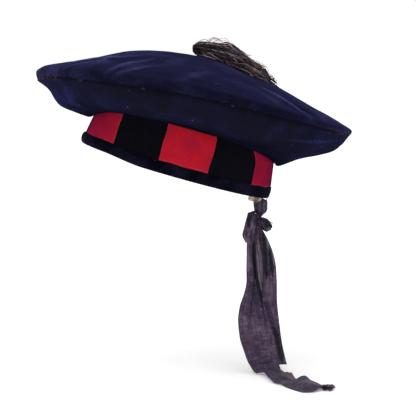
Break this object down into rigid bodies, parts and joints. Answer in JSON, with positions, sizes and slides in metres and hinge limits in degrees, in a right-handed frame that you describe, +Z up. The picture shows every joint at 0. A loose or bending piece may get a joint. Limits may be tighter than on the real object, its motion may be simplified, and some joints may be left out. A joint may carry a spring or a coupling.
{
  "type": "tam o shanter",
  "caption": "Broad soft velvet cap with a checked headband, a fringed tassel on the crown and a ribbon bow with hanging tails behind.",
  "frame": {"origin": "middle of the head opening, in the plane of the rim, where the hat sits on a head", "axes": "+Z up as worn, the front towards -X, the bow at the back towards +X, the rim tilted 16 degrees down to the back"},
  "size_m": [0.3286, 0.3268, 0.3434],
  "materials": {
    "navy_velvet": "soft cotton velvet, deep navy, with nap streaks",
    "black_velvet": "flat black velvet",
    "velvet_binding": "rolled dark velvet",
    "red_cloth": "crimson wool cloth with paler cut edges",
    "edge_piping": "narrow dark seam cord, worn brown at front and back",
    "cotton_tape": "unbleached cotton tape, stained",
    "silk_ribbon": "faded ribbed silk ribbon",
    "silk_fringe": "black-brown silk threads"
  },
  "bodies": {
    "root": {"crown_top": "navy_velvet", "crown_underside": "navy_velvet", "edge_piping": "edge_piping", "headband": "black_velvet", "rim_binding": "velvet_binding", "lining_tab": "cotton_tape", "check_near_front": "red_cloth", "check_far_front": "red_cloth", "check_near_middle": "red_cloth", "check_far_middle": "red_cloth", "check_near_back": "red_cloth", "check_far_back": "red_cloth", "toorie": "silk_fringe", "ribbon_neck": "silk_ribbon", "bow_knot": "silk_ribbon", "bow_loop_left": "silk_ribbon", "bow_loop_right": "silk_ribbon", "ribbon_tail_long": "silk_ribbon", "ribbon_tail_short": "silk_ribbon"}
  },
  "joints": []
}
